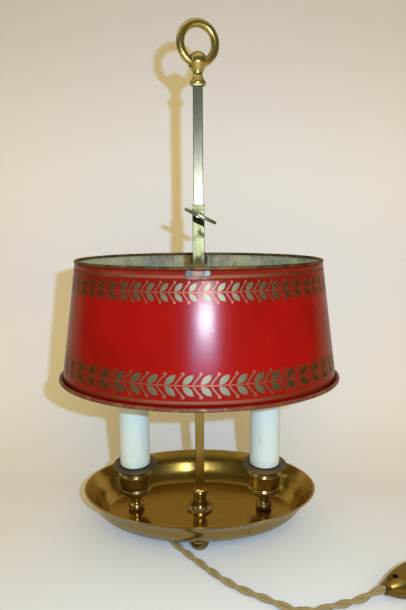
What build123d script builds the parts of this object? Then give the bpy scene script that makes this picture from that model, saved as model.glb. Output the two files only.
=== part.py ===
from build123d import *
from math import atan2, cos, degrees, pi, radians, sin, sqrt, tan
import os

os.makedirs("parts", exist_ok=True)

# Bouillotte lamp, millimetres. Origin on the table under the stem, +Z up, front towards -Y.

# clearances
seat_gap = 0.05          # between a fixed piece and the hole it sits in
slide_gap = 0.1          # stem bar in the sliding sleeve, each side
running_gap = 0.06       # small pivots and the thrust pad, radial

# oval tray
tray_sheet = 1.5
tray_floor_a = 84.0      # underside of the floor, half its length
tray_floor_b = 48.5
tray_rim_a = 105.0
tray_rim_b = 69.0
tray_under = 11.0        # height of the underside above the table
tray_rim_z = 36.7
tray_wall_bow = 1.2      # how far the wall bows off a straight line
tray_wall_steps = 8

# three bun feet
foot_top_r = 8.1
foot_flat_r = 3.75
foot_front = (0, -40)
foot_back_x = 52.0
foot_back_y = 27.0
foot_screw_r = 2.0
foot_screw_head_r = 3.3
foot_screw_head_h = 1.3

# square stem and its turned foot
bar = 8.0
bar_top_z = 383.0
bar_edge = 0.5
stem_foot_r = 12.25
stem_foot_top_z = 31.5
stem_socket = 3.0
stem_bolt_r = 2.5
stem_bolt_end_z = 43.0
tenon_r = 2.5
tenon_h = 6.0

# finial and swinging ring
finial_ball_r = 7.9
finial_dome_h = 7.9      # from the ring's hole to the top
finial_foot_r = 6.0
finial_neck_r = 3.9
finial_neck_h = 8.2
ring_r = 14.7            # to the middle of the wire
ring_wire_r = 3.34
ring_yaw = 20.0          # the ring's left side stands nearer the front
ring_lean = 3.0          # forwards
ring_hub_z = 400.9
ring_hole_r = 4.6

# sliding sleeve and clamp key
sleeve = 10.0
sleeve_band = 10.6
sleeve_low_z = 227.0
sleeve_top_z = 289.0
band_h = 4.0
key_z = 280.5
key_thread_r = 2.0
boss_r = 2.8
boss_len = 3.2
pad_len = 1.6
pad_off_bar = 0.05
key_roll = 25.0
grip_a = 14.0
grip_b = 8.0
grip_thick = 2.8
grip_rim = 2.6
grip_web = 1.2
key_neck_r = 2.0
grip_mid_y = -20.0
grip_shift = 1.9         # soldered a little off its middle

# oval shade
shade_sheet = 0.8
shade_top_a = 104.3      # outside of the wall at the height of the top wire
shade_top_b = 72.4
shade_low_a = 118.6
shade_low_b = 87.6
shade_low_z = 143.2
shade_high_z = 243.0
top_wire_r = 1.2
low_wire_r = 1.6
strap_w = 16.0
strap_t = 1.4
strap_low_z = 235.5
strap_tab_top_z = 241.5
rivet_x = 6.7
rivet_z = 239.5
rivet_r = 1.5
rivet_head_r = 2.35
rivet_tail_r = 1.9
rivet_head_h = 0.8

# candle cups, candles and bulbs, one pair each side
cup_x = 59.0
nipple_r = 4.0
nipple_bore_r = 2.75
nipple_low_z = 7.5
nipple_top_z = 96.0
nipple_nut_h = 3.0
cup_lip_r = 20.0
cup_body_r = 14.4
cup_top_z = 57.5
cup_ledge_z = 54.0
candle_r = 13.5
candle_wall = 1.0
candle_top_z = 142.5
collar_r = 14.4
holder_base_low_z = 86.0
holder_base_high_z = 104.0
holder_r = 11.2
holder_top_z = 139.0
cap_r = 6.9
cap_low_z = 117.0
bulb_r = 17.5
bulb_low_z = 141.0
bulb_top_z = 217.0

# terminal plate under the tray
plate_t = 1.2
plate_left = -49.5
plate_right = 9.5
plate_half = 8.5
washer_r = 7.5
washer_t = 1.0
bolt_af = 8.0
bolt_head_h = 3.5
block_left = -25.0
block_right = -9.0
block_half = 8.0
block_h = 7.0
clip_x = -37.0
clip_back_y = -2.0
clip_front_y = -8.0
clip_t = 1.0
clip_ear = 10.5
clip_screw_x = 7.6
small_screw_r = 1.5

# cord, a twisted pair taken over both strands
cord_r = 2.8
cord_rest_z = cord_r + 0.2
lead_r = 1.1
lamp_wire_r = 1.7
lamp_wire_z = 4.0

# in-line switch
switch_tip = (137.0, -99.5)
switch_turn = 20.0
switch_len = 70.0
switch_half_w = 13.0
switch_h = 16.0
switch_end_r = 4.6
switch_low_z = 0.1
rocker_len = 17.0
rocker_w = 9.0
rocker_tilt = 8.0

# coil of spare cord and plug
coil_x = 254.0
coil_y = -27.0
coil_r = 31.0            # middle of the turns
coil_low_turns = 4       # turns side by side on the table
coil_high_turns = 3      # turns lying in the grooves between them
coil_corner = 2.6
plug_at = (281.6, 22.0)
plug_turn = 98.0
plug_len = 36.0
plug_half_w = 17.0
plug_h = 13.7
pin_gap = 18.6
pin_r = 2.0
pin_len = 19.0

tray_top = tray_under + tray_sheet


def save(shape, name):
    shape.label = name
    export_step(shape, f"parts/{name}.step")
    print(name, round(shape.volume / 1000, 3), "cm3")


def oval(a, b, z):
    return Plane.XY.offset(z) * Ellipse(a, b)


def oval_cone(a0, b0, z0, a1, b1, z1):
    return loft([oval(a0, b0, z0), oval(a1, b1, z1)], ruled=True)


def cyl(r, z0, z1, x=0.0, y=0.0):
    return Pos(x, y, (z0 + z1) / 2) * Cylinder(r, z1 - z0)


def block(x0, x1, y0, y1, z0, z1):
    return Pos((x0 + x1) / 2, (y0 + y1) / 2, (z0 + z1) / 2) * Box(x1 - x0, y1 - y0, z1 - z0)


def lathe(parts):
    # each entry: (r, z) straight to it, ("arc", r, z, bulge) a bow, ("flow", points) a smooth curve
    edges = []
    at = parts[0]
    for part in parts[1:]:
        if part[0] == "arc":
            to = (part[1], part[2])
            edges.append(SagittaArc((at[0], at[1]), to, part[3]))
        elif part[0] == "flow":
            to = part[1][-1]
            edges.append(Spline([at] + list(part[1])))
        else:
            to = part
            edges.append(Line(at, to))
        at = to
    edges.append(Line(at, parts[0]))
    face = make_face(edges)
    return revolve(Plane.XZ * face, Axis.Z)


def corner_radii(points):
    radii = []
    for before, here, after in zip(points, points[1:], points[2:]):
        a = Vector(*here) - Vector(*before)
        b = Vector(*after) - Vector(*here)
        turn = radians(a.get_angle(b))
        radii.append(0.45 * min(a.length, b.length) / tan(turn / 2))
    return radii


def cord_tube(name, points, r):
    radii = corner_radii(points)
    path = FilletPolyline(*points, radius=radii)
    tube = sweep(Plane(origin=path @ 0, z_dir=path % 0) * Circle(r), path=path)
    print(name, "length", round(path.length, 1), "radii", [round(v, 1) for v in radii])
    print(name, "volume over section times length", round(tube.volume / (pi * r * r * path.length), 4))
    return tube


# ---- tray
wall_rise = tray_rim_z - tray_under
wall_run = (tray_rim_a - tray_floor_a) / wall_rise
wall_thick = tray_sheet * sqrt(1 + wall_run * wall_run)


def tray_wall(inset, low):
    # the wall is pressed in a slight S: steepest half way up
    sections = []
    for i in range(tray_wall_steps + 1):
        up = (low - tray_under + (tray_rim_z - low) * i / tray_wall_steps) / wall_rise
        bow = tray_wall_bow * sin(2 * pi * up) - inset
        out_a = tray_floor_a + (tray_rim_a - tray_floor_a) * up + bow
        out_b = tray_floor_b + (tray_rim_b - tray_floor_b) * up + bow
        sections.append(oval(out_a, out_b, tray_under + wall_rise * up))
    return loft(sections)


tray = tray_wall(0, tray_under)
tray = fillet(tray.edges().sort_by(Axis.Z)[0], 2.2)
hollow = tray_wall(wall_thick, tray_top)
hollow = fillet(hollow.edges().sort_by(Axis.Z)[0], 1.4)
tray -= hollow
feet_at = {
    "foot_front": foot_front,
    "foot_back_left": (-foot_back_x, foot_back_y),
    "foot_back_right": (foot_back_x, foot_back_y),
}
tray -= cyl(stem_bolt_r + seat_gap, tray_under - 1, tray_top + 1)
for side in (-1, 1):
    tray -= cyl(nipple_r + seat_gap, tray_under - 1, tray_top + 1, side * cup_x)
for x, y in feet_at.values():
    tray -= cyl(foot_screw_r + seat_gap, tray_under - 1, tray_top + 1, x, y)
    sink = Cone(foot_screw_r + seat_gap, foot_screw_head_r + seat_gap, foot_screw_head_h)
    tray -= Pos(x, y, tray_top - foot_screw_head_h / 2) * sink
save(tray, "tray")

# ---- feet and their screws
foot = lathe([(0, 0), (foot_flat_r, 0), ("flow", [(6.9, 2.6), (8.1, 7.0), (7.6, 9.9)]), (7.2, 10.4),
              (foot_top_r, 10.5), (foot_top_r, tray_under), (0, tray_under)])
foot_screw_end = tray_under - 7
foot -= cyl(foot_screw_r + seat_gap, foot_screw_end - 0.5, tray_under)
for name, (x, y) in feet_at.items():
    save(Pos(x, y, 0) * foot, name)
foot_screw = cyl(foot_screw_r, foot_screw_end, tray_top - foot_screw_head_h)
foot_screw_head = Cone(foot_screw_r, foot_screw_head_r, foot_screw_head_h)
foot_screw += Pos(0, 0, tray_top - foot_screw_head_h / 2) * foot_screw_head
foot_screw -= block(-4, 4, -0.4, 0.4, tray_top - 0.6, tray_top + 1)
save(Compound(children=[Pos(x, y, 0) * foot_screw for x, y in feet_at.values()]), "foot_screws")

# ---- turned foot of the stem
stem_foot = lathe([(0, tray_top), (stem_foot_r, tray_top), (stem_foot_r, 13.6), ("arc", 11.6, 14.3, -0.2),
                   (10.6, 14.4), ("flow", [(7.6, 16.4), (6.1, 20.4), (6.2, 24.0)]), (6.6, 25.6), (6.6, 26.6),
                   ("arc", 6.6, 30.8, -0.75), (6.1, stem_foot_top_z), (0, stem_foot_top_z)])
stem_foot -= cyl(stem_bolt_r + seat_gap, tray_top - 1, stem_foot_top_z + 1)
socket_z = stem_foot_top_z - stem_socket
socket = bar + 2 * seat_gap
stem_foot -= block(-socket / 2, socket / 2, -socket / 2, socket / 2, socket_z, stem_foot_top_z + 1)
save(stem_foot, "stem_foot")

# ---- square stem, tapped below, tenon above
stem = block(-bar / 2, bar / 2, -bar / 2, bar / 2, socket_z, bar_top_z)
stem = chamfer(stem.edges().filter_by(Axis.Z), bar_edge)
stem += cyl(tenon_r, bar_top_z, bar_top_z + tenon_h)
stem -= cyl(stem_bolt_r + seat_gap, socket_z - 1, stem_bolt_end_z + 1)
save(stem, "stem_bar")

# ---- finial
finial_neck_z = bar_top_z + finial_neck_h
finial_top_z = ring_hub_z + finial_dome_h
flare = finial_ball_r - finial_neck_r
rise = ring_hub_z - 1.2 - finial_neck_z
finial = lathe([(0, bar_top_z), (finial_foot_r, bar_top_z),
                ("arc", finial_foot_r, bar_top_z + 3.4, -0.75),
                ("flow", [(finial_neck_r + 0.7, finial_neck_z - 2.4), (finial_neck_r, finial_neck_z),
                          (finial_neck_r + 0.3 * flare, finial_neck_z + 0.4 * rise),
                          (finial_neck_r + 0.72 * flare, finial_neck_z + 0.72 * rise),
                          (finial_ball_r, finial_neck_z + rise), (finial_ball_r, ring_hub_z + 0.6)]),
                ("flow", [(0.9 * finial_ball_r, ring_hub_z + 0.47 * finial_dome_h),
                          (0.64 * finial_ball_r, ring_hub_z + 0.78 * finial_dome_h),
                          (0.32 * finial_ball_r, finial_top_z - 0.4), (0, finial_top_z)])])
finial -= cyl(tenon_r + seat_gap, bar_top_z - 1, bar_top_z + tenon_h + 0.3)
hub = Pos(0, 0, ring_hub_z) * Rot(0, 0, ring_yaw)
finial -= hub * Rot(0, 90, 0) * Cylinder(ring_hole_r, 4 * finial_ball_r)
save(finial, "finial")

# ---- ring through the finial: its wire bows up by the hole's ends, so it hangs off centre
hole_half = sqrt(finial_ball_r ** 2 - ring_hole_r ** 2)
inner_bow = ring_r - sqrt((ring_r - ring_wire_r) ** 2 - hole_half ** 2)
ring_offset = (inner_bow - ring_wire_r) / 2
ring = Pos(0, 0, ring_r - ring_offset) * Rot(90, 0, 0) * Torus(ring_r, ring_wire_r)
ring = hub * Rot(ring_lean, 0, 0) * ring
print("ring must clear", round((inner_bow + ring_wire_r) / 2, 2), "of", ring_hole_r)
save(ring, "finial_ring")

# ---- sliding sleeve
bore = bar + 2 * slide_gap
slider = block(-sleeve / 2, sleeve / 2, -sleeve / 2, sleeve / 2, sleeve_low_z, sleeve_top_z)
slider = chamfer(slider.edges().filter_by(Axis.Z), 0.4)
band = block(-sleeve_band / 2, sleeve_band / 2, -sleeve_band / 2, sleeve_band / 2,
             sleeve_top_z - band_h, sleeve_top_z)
slider += chamfer(band.edges(), 0.3)
slider -= block(-bore / 2, bore / 2, -bore / 2, bore / 2, sleeve_low_z - 1, sleeve_top_z + 1)
front = Pos(0, 0, key_z) * Rot(90, 0, 0)         # local +Z points out of the lamp's front
pad_r = key_thread_r
slider -= front * Pos(0, 0, sleeve / 2) * Cylinder(pad_r + running_gap, sleeve)
save(slider, "slider_sleeve")
boss = front * cyl(boss_r, sleeve / 2, sleeve / 2 + boss_len)
boss = chamfer(boss.edges().sort_by(Axis.Y)[0], 0.5)
boss -= front * cyl(pad_r + running_gap, 0, 2 * sleeve)
save(boss, "clamp_boss")

# ---- thrust pad ahead of the screw, and the key
pad_back = bar / 2 + pad_off_bar
pad = front * cyl(pad_r, pad_back, pad_back + pad_len)
save(pad, "clamp_pad")
grip_edge = -grip_mid_y - grip_b
screw_tip = pad_back + pad_len
key_screw = front * cyl(key_thread_r, screw_tip, grip_edge - 1.2)
key_screw += front * cyl(key_neck_r, grip_edge - 3.2, grip_edge + 0.9)
save(key_screw, "key_screw")
grip = extrude(Ellipse(grip_a, grip_b), grip_thick / 2, both=True)
grip = fillet(grip.edges(), 1.2)
for up in (0, 180):
    dish = extrude(Ellipse(grip_a - grip_rim, grip_b - grip_rim), grip_thick)
    grip -= Rot(up, 0, 0) * Pos(0, 0, grip_web / 2) * dish
grip = Pos(0, grip_mid_y, key_z) * Rot(0, key_roll, 0) * Pos(grip_shift, 0, 0) * grip
grip -= front * cyl(key_neck_r, grip_edge - 5, grip_edge + 0.9)
save(grip, "key_grip")

# ---- shade wall
run_a = (shade_low_a - shade_top_a) / (shade_high_z - shade_low_z)
run_b = (shade_low_b - shade_top_b) / (shade_high_z - shade_low_z)


def wall_a(z):
    return shade_top_a + (shade_high_z - z) * run_a


def wall_b(z):
    return shade_top_b + (shade_high_z - z) * run_b


wall_z0 = shade_low_z - low_wire_r
wall_z1 = shade_high_z - top_wire_r - 0.02
slant = shade_sheet * sqrt(1 + run_b * run_b)
wall = oval_cone(wall_a(wall_z0), wall_b(wall_z0), wall_z0, wall_a(wall_z1), wall_b(wall_z1), wall_z1)
cavity = oval_cone(wall_a(wall_z0 - 1) - slant, wall_b(wall_z0 - 1) - slant, wall_z0 - 1,
                   wall_a(wall_z1 + 1) - slant, wall_b(wall_z1 + 1) - slant, wall_z1 + 1)
wall -= cavity


# rivets stand square to the leaning wall
def rivet_frame(x, side):
    z = rivet_z
    a = wall_a(z)
    b = wall_b(z)
    y = b * sqrt(1 - (x / a) ** 2)
    lie = degrees(atan2(x * b * b, y * a * a))
    lean = degrees(atan2(run_b, 1))
    turn = -lie if side < 0 else 180 + lie
    return Pos(x, side * y, z) * Rot(0, 0, -turn) * Rot(90 - lean, 0, 0)


rivets = []
holes = []
for side in (-1, 1):
    for x in (-rivet_x, rivet_x):
        at = rivet_frame(x, side)
        tail = shade_sheet + strap_t + 0.35
        shank = Pos(0, 0, -tail / 2) * Cylinder(rivet_r, tail)
        head = Pos(0, 0, rivet_head_h / 2) * Cylinder(rivet_head_r, rivet_head_h)
        head = fillet(head.edges().sort_by(Axis.Z)[-1], 0.35)
        foot_end = Pos(0, 0, -tail - 0.45) * Cylinder(rivet_tail_r, 0.9)
        rivets.append(at * Pos(0, 0, 0.02) * (shank + head + foot_end))
        holes.append(at * Cylinder(rivet_r + seat_gap, 9))
for hole in holes:
    wall -= hole
save(wall, "shade_wall")

# ---- wires round the shade's edges
top_mid_a = shade_top_a - slant / 2
top_mid_b = shade_top_b - slant / 2
low_mid_a = shade_low_a + seat_gap + low_wire_r
low_mid_b = shade_low_b + seat_gap + low_wire_r


def oval_wire(a, b, z, r):
    loop = Edge.make_ellipse(a, b, Plane.XY.offset(z))
    return sweep(Plane(origin=loop @ 0, z_dir=loop % 0) * Circle(r), path=loop)


save(oval_wire(top_mid_a, top_mid_b, shade_high_z, top_wire_r), "shade_top_wire")
save(oval_wire(low_mid_a, low_mid_b, shade_low_z, low_wire_r), "shade_bottom_wire")

# ---- strap across the shade, its ends turned up against the wall
strap = block(-strap_w / 2, strap_w / 2, -shade_low_b, shade_low_b, strap_low_z, strap_tab_top_z)
tab_t = strap_t + 0.2
strap -= oval_cone(wall_a(strap_low_z) - slant - tab_t, wall_b(strap_low_z) - slant - tab_t,
                   strap_low_z + strap_t, wall_a(strap_tab_top_z + 2) - slant - tab_t,
                   wall_b(strap_tab_top_z + 2) - slant - tab_t, strap_tab_top_z + 2)
room_low_z = strap_low_z - 5
room_top_z = strap_tab_top_z + 5
strap &= oval_cone(wall_a(room_low_z) - slant - 0.03, wall_b(room_low_z) - slant - 0.03, room_low_z,
                   wall_a(room_top_z) - slant - 0.03, wall_b(room_top_z) - slant - 0.03, room_top_z)
sleeve_hole = sleeve / 2 + seat_gap
strap -= block(-sleeve_hole, sleeve_hole, -sleeve_hole, sleeve_hole,
               strap_low_z - 1, strap_low_z + strap_t + 1)
for hole in holes:
    strap -= hole
save(strap, "shade_strap")
save(Compound(children=rivets), "shade_rivets")

# ---- candle cups and what stands in them
cup = lathe([(0, tray_top), (5.6, tray_top), ("arc", 5.4, 19.3, -1.9), (5.0, 19.9), (5.0, 22.6),
             (5.6, 23.6), ("arc", 6.0, 25.6, -0.6), (7.6, 26.0),
             ("flow", [(11.2, 27.9), (13.1, 30.2), (cup_body_r - 0.3, 32.2)]),
             ("arc", cup_body_r - 0.3, 35.6, -0.95), (cup_body_r - 0.6, 36.2), (cup_body_r, 37.6),
             (cup_body_r, 46.8), ("arc", cup_body_r, 50.0, -0.85), (13.9, 50.8), (14.1, 52.6),
             ("flow", [(15.4, 54.2), (18.4, 55.3), (cup_lip_r - 0.4, 55.7)]),
             ("arc", cup_lip_r - 0.5, cup_top_z, -0.5),
             (0, cup_top_z)])
cup -= cyl(candle_r + seat_gap, cup_ledge_z, cup_top_z + 1)
cup -= cyl(candle_r - 1.6, 36, cup_top_z)
cup -= cyl(nipple_r + seat_gap, tray_top - 1, 40)
nut_r = 6.5 / cos(radians(30))
nipple = cyl(nipple_r, nipple_low_z, nipple_top_z) - cyl(nipple_bore_r, nipple_low_z - 1, nipple_top_z + 1)
nut_face = RegularPolygon(nut_r, 6) - Circle(nipple_r + seat_gap)
nut = Pos(0, 0, tray_under - nipple_nut_h) * extrude(nut_face, nipple_nut_h)
cup_nut = Pos(0, 0, 36) * extrude(nut_face, nipple_nut_h)
collar = cyl(collar_r, cup_top_z, cup_top_z + 1) - cyl(candle_r + seat_gap, cup_top_z - 1, cup_top_z + 2)
candle = cyl(candle_r, cup_ledge_z, candle_top_z)
candle -= cyl(candle_r - candle_wall, cup_ledge_z - 1, candle_top_z + 1)
candle = fillet(candle.edges().group_by(Axis.Z)[-1], 0.3)
holder_base = cyl(holder_r, holder_base_low_z, holder_base_high_z)
holder_base = chamfer(holder_base.edges().sort_by(Axis.Z)[0], 2)
holder_base -= cyl(nipple_r + seat_gap, holder_base_low_z - 1, nipple_top_z + 0.5)
holder_base -= cyl(nipple_bore_r, nipple_top_z, holder_base_high_z - 3)
holder = cyl(holder_r, holder_base_high_z, holder_top_z)
holder -= cyl(cap_r + 0.1, cap_low_z - 2, holder_top_z + 1)
cap = cyl(cap_r, cap_low_z + 2.5, bulb_low_z + 0.8)
cap += Pos(0, 0, cap_low_z + 1.25) * Cone(2.4, cap_r, 2.5)
cap -= cyl(cap_r - 0.5, cap_low_z + 4, bulb_low_z + 3)
shell_t = 0.7
bulb_neck_r = cap_r - 0.6
# the bulb's outline, in shares of its radius and height
bulb_shape = [(0.514, 0.066), (0.834, 0.184), (1.0, 0.368), (0.857, 0.592), (0.514, 0.789), (0.24, 0.908),
              (0.091, 0.976)]


def bulb(inset, deep):
    neck_r = bulb_neck_r - inset
    tall = bulb_top_z - bulb_low_z - 3.1 * inset
    side = [(share * bulb_r - inset, bulb_low_z + up * tall) for share, up in bulb_shape]
    return lathe([(0, bulb_low_z - deep), (neck_r, bulb_low_z - deep), (neck_r, bulb_low_z + 1),
                  ("flow", side + [(0, bulb_low_z + tall)])])


glass_out = bulb(0, 6)
glass_in = bulb(shell_t, 7)
glass = glass_out - glass_in
for side, word in ((-1, "left"), (1, "right")):
    at = Pos(side * cup_x, 0, 0)
    save(at * cup, f"candle_cup_{word}")
    save(at * nipple, f"cup_nipple_{word}")
    save(Compound(children=[at * nut, at * cup_nut]), f"nipple_nuts_{word}")
    save(at * collar, f"candle_collar_{word}")
    save(at * candle, f"candle_sleeve_{word}")
    save(at * holder_base, f"lampholder_base_{word}")
    save(at * holder, f"lampholder_{word}")
    save(at * cap, f"bulb_cap_{word}")
    save(at * glass, f"bulb_glass_{word}")

# ---- terminal plate, washer and bolt under the tray
plate_low = tray_under - plate_t
plate = block(plate_left, plate_right, -plate_half, plate_half, plate_low, tray_under)
plate -= cyl(stem_bolt_r + seat_gap, plate_low - 1, tray_under + 1)
screw_xs = (clip_x - clip_screw_x, clip_x + clip_screw_x)
clip_mid_y = (clip_back_y + clip_front_y) / 2
block_mid_x = (block_left + block_right) / 2
screw_spots = [(x, clip_mid_y) for x in screw_xs]
for x, y in screw_spots + [(block_mid_x, 0)]:
    plate -= cyl(small_screw_r + seat_gap, plate_low - 1, tray_under + 1, x, y)
save(plate, "terminal_plate")
washer = cyl(washer_r, plate_low - washer_t, plate_low) - cyl(stem_bolt_r + seat_gap, 0, plate_low + 1)
save(washer, "stem_washer")
head_top = plate_low - washer_t
hexagon = RegularPolygon(bolt_af / 2 / cos(radians(30)), 6)
bolt = Pos(0, 0, head_top - bolt_head_h) * extrude(hexagon, bolt_head_h)
bolt += cyl(stem_bolt_r, head_top, stem_bolt_end_z)
save(bolt, "stem_bolt")
terminal = block(block_left, block_right, -block_half, block_half, plate_low - block_h, plate_low)
terminal = fillet(terminal.edges().filter_by(Axis.Z), 1.5)
terminal -= cyl(small_screw_r + seat_gap, 0, plate_low + 1, block_mid_x)
terminal -= cyl(2.9, 0, plate_low - block_h + 2, block_mid_x)
save(terminal, "terminal_block")

# ---- clip that grips the cord, and the small screws
cord_clip_z = plate_low - cord_r
clip = block(clip_x - clip_ear, clip_x + clip_ear, clip_front_y, clip_back_y, plate_low - clip_t, plate_low)
lying = Pos(clip_x, clip_mid_y, cord_clip_z) * Rot(90, 0, 0)
clip_len = clip_back_y - clip_front_y
clip_out = cord_r + seat_gap + clip_t
clip += lying * Cylinder(clip_out, clip_len)
clip += block(clip_x - clip_out, clip_x + clip_out, clip_front_y, clip_back_y, cord_clip_z, plate_low)
clip -= block(clip_x - 20, clip_x + 20, clip_front_y - 1, clip_back_y + 1, plate_low, plate_low + 9)
clip -= lying * Cylinder(cord_r + seat_gap, clip_len + 2)
clip -= block(clip_x - cord_r - seat_gap, clip_x + cord_r + seat_gap, clip_front_y - 1, clip_back_y + 1,
              cord_clip_z, plate_low + 1)
for x, y in screw_spots:
    clip -= cyl(small_screw_r + seat_gap, 0, plate_low + 1, x, y)
save(clip, "cord_clip")


def small_screw(x, y, head_z):
    screw = cyl(small_screw_r, head_z, tray_under - 0.1, x, y)
    screw += cyl(2.7, head_z - 1.6, head_z, x, y)
    return screw - block(x - 3, x + 3, y - 0.35, y + 0.35, head_z - 1.7, head_z - 1.0)


plate_screws = [small_screw(x, y, plate_low - clip_t) for x, y in screw_spots]
plate_screws.append(small_screw(block_mid_x, 0, plate_low - block_h + 2))
save(Compound(children=plate_screws), "plate_screws")

# ---- leads from the cord to the terminal block, and a lamp wire to each candle
lead_z = cord_clip_z
leads = []
for x, y in ((clip_x - 1.3, 6.0), (clip_x + 1.3, 1.6)):
    route = [(x, clip_back_y, lead_z), (x, y, lead_z), (block_left, y, lead_z)]
    bend = min(4.0, y - clip_back_y - 0.2)
    path = FilletPolyline(*route, radius=bend)
    leads.append(sweep(Plane(origin=path @ 0, z_dir=path % 0) * Circle(lead_r), path=path))
save(Compound(children=leads), "cord_leads")
for side, word, start_x in ((-1, "left", -20.5), (1, "right", -14.5)):
    z = lamp_wire_z
    route = [(start_x, block_half, z), (start_x, 13, z), (side * 46, 13, z), (side * cup_x, 0, z),
             (side * cup_x, 0, nipple_top_z + 2)]
    path = FilletPolyline(*route, radius=[3.2, 9, 4])
    save(sweep(Plane(origin=path @ 0, z_dir=path % 0) * Circle(lamp_wire_r), path=path), f"lamp_wire_{word}")

# ---- cord from the clip to the switch
switch_z = switch_low_z + switch_h / 2
ux = cos(radians(switch_turn))
uy = sin(radians(switch_turn))
switch_far = (switch_tip[0] + switch_len * ux, switch_tip[1] + switch_len * uy)
cord_z = cord_rest_z
clip_end = (clip_x, clip_front_y, cord_clip_z)
to_switch = [
    clip_end,
    (clip_x, -21, 5.6),
    (-25.5, -34, cord_z),
    (-4, -59.4, cord_z),
    (24.5, -89.6, cord_z),
    (49, -103, cord_z),
    (73.5, -117.6, cord_z),
    (101.5, -109.1, cord_z),
    (118, -105.4, 3.6),
    (switch_tip[0] - 8 * ux, switch_tip[1] - 8 * uy, switch_z),
    (switch_tip[0], switch_tip[1], switch_z),
]
save(cord_tube("cord_to_switch", to_switch, cord_r), "cord_to_switch")

# ---- in-line switch, a shuttle in two halves with a rocker
half = switch_len / 2
shuttle = [(-half, 0), (-half, switch_end_r), (-half + 2.5, switch_end_r + 0.5)]
flow = [(-23, 9.6), (-10, 12.4), (0, switch_half_w), (10, 12.4), (23, 9.6), (half - 2.5, switch_end_r + 0.5)]
shuttle_end = Polyline(flow[-1], (half, switch_end_r), (half, 0), (-half, 0))
body = revolve(make_face([Polyline(*shuttle), Spline([shuttle[-1]] + flow), shuttle_end]), Axis.X)
body &= Box(2 * switch_len, 2 * switch_len, switch_h)
switch_at = Pos((switch_tip[0] + switch_far[0]) / 2, (switch_tip[1] + switch_far[1]) / 2, switch_z)
switch_at *= Rot(0, 0, switch_turn)
crease = 0.12
lower = body & block(-50, 50, -50, 50, -50, -crease)
upper = body & block(-50, 50, -50, 50, crease, 50)
pocket = block(-rocker_len / 2 - 0.9, rocker_len / 2 + 0.9, -rocker_w / 2 - 0.3, rocker_w / 2 + 0.3, -3.5, 20)
pivot_z = switch_h / 2 - 3.2
axle = Pos(0, 0, pivot_z) * Rot(90, 0, 0)
upper -= pocket
upper -= axle * Cylinder(1.2 + running_gap, rocker_w + 3.4)
lower -= pocket
screw_u = 26.0
for u in (-screw_u, screw_u):
    upper -= cyl(2.1, 1.6, 20, u)
    upper -= cyl(1.25, -1, 5, u)
    lower -= cyl(1.25, -5, 1, u)
save(switch_at * lower, "switch_lower")
save(switch_at * upper, "switch_upper")
tilt = Rot(0, rocker_tilt, 0)
top_z = switch_h / 2
rocker_half = rocker_len / 2
rocker_face = make_face(Polyline((-rocker_half, top_z + 1.2), (0, top_z + 0.1), (rocker_half, top_z + 1.2),
                                 (rocker_half, top_z - 1.6), (3, pivot_z - 3), (-3, pivot_z - 3),
                                 (-rocker_half, top_z - 1.6), (-rocker_half, top_z + 1.2)))
rocker = extrude(Plane.XZ * rocker_face, rocker_w / 2, both=True)
rocker += axle * Cylinder(1.2, rocker_w + 3)
rocker = Pos(0, 0, pivot_z) * tilt * Pos(0, 0, -pivot_z) * rocker
save(switch_at * rocker, "switch_rocker")
screws = [cyl(1.2, -4.8, 1.7, u) + cyl(2.0, 1.7, 3.3, u) - block(u - 3, u + 3, -0.3, 0.3, 2.7, 4)
          for u in (-screw_u, screw_u)]
save(Compound(children=[switch_at * screw for screw in screws]), "switch_screws")

# ---- coil of spare cord lying on the table, with the runs into and out of it
coil_low_z = cord_rest_z - cord_r
low_half = coil_low_turns * cord_r
high_half = coil_high_turns * cord_r
high_row_z = cord_rest_z + sqrt(3) * cord_r
coil_high_z = high_row_z + cord_r
coil_face = make_face(Polyline((coil_r - low_half, coil_low_z), (coil_r + low_half, coil_low_z),
                               (coil_r + low_half, coil_low_z + cord_r), (coil_r + high_half, coil_high_z),
                               (coil_r - high_half, coil_high_z), (coil_r - low_half, coil_low_z + cord_r),
                               (coil_r - low_half, coil_low_z)))
corners = coil_face.vertices().group_by(Axis.Y)
coil_face = fillet(corners[0] + corners[-1], coil_corner)
save(Pos(coil_x, coil_y, 0) * revolve(Plane.XZ * coil_face, Axis.Z), "cord_coil")


def on_coil(angle, out, z):
    return (coil_x + (coil_r + out) * cos(radians(angle)), coil_y + (coil_r + out) * sin(radians(angle)), z)


far_end = (switch_far[0], switch_far[1], switch_z)
first_turn_out = low_half - cord_r
last_turn_out = cord_r       # the last part of a turn lies in a groove of the upper row
last_turn_z = cord_rest_z + 2 * sqrt(3) * cord_r
into_coil = [
    far_end,
    (switch_far[0] + 8 * ux, switch_far[1] + 8 * uy, switch_z),
    (221, -69.9, 4.8),
    (236, -67.2, cord_z),
    on_coil(-96, first_turn_out, cord_z),
]
save(cord_tube("cord_tail", into_coil, cord_r), "cord_tail")
plug_z = switch_low_z + plug_h / 2
px = cos(radians(plug_turn))
py = sin(radians(plug_turn))
out_of_coil = [on_coil(angle, last_turn_out, last_turn_z) for angle in range(-96, 9, 13)]
out_of_coil += [
    (288.6, -12.0, 13.4),
    (287.4, -1.5, 12.4),
    (284.8, 8.5, 7.2),
    (plug_at[0] - 7 * px, plug_at[1] - 7 * py, plug_z),
    (plug_at[0], plug_at[1], plug_z),
]
save(cord_tube("cord_end", out_of_coil, cord_r), "cord_end")

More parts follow.
